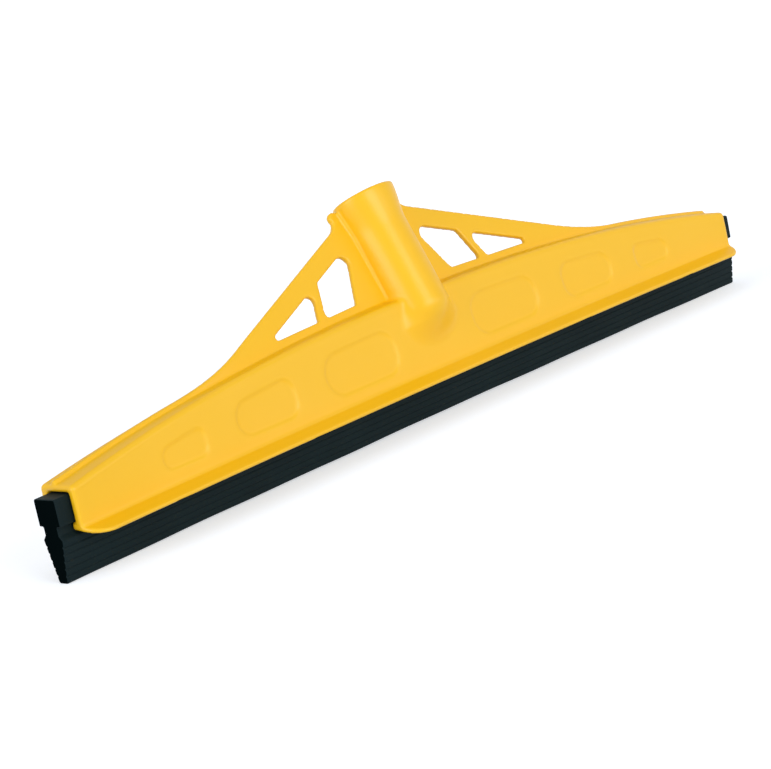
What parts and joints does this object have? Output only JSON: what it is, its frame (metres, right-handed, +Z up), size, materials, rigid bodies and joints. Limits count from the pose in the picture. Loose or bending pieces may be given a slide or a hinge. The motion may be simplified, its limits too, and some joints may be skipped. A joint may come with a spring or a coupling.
{
  "type": "floor squeegee head",
  "caption": "Floor squeegee head: a leaning handle socket on a pierced triangular web, over a long arched body that grips a thick rubber wiping blade.",
  "frame": {"origin": "the middle of the blade's wiping edge, where it meets the floor", "axes": "+X along the blade, +Z up from the floor, +Y to the rear, where the socket leans and the user stands"},
  "size_m": [0.45, 0.0517, 0.1084],
  "materials": {
    "body_plastic": "yellow injection-moulded polypropylene, satin gloss",
    "blade_rubber": "black extruded rubber, dull, with fine lines along its length"
  },
  "bodies": {
    "holder": {"body": "body_plastic"},
    "blade": {"rubber_blade": "blade_rubber"}
  },
  "joints": [
    {"name": "blade_slide", "type": "slide", "parent": "holder", "child": "blade", "axis": [1, 0, 0], "range_m": [-0.445, 0.445]}
  ]
}
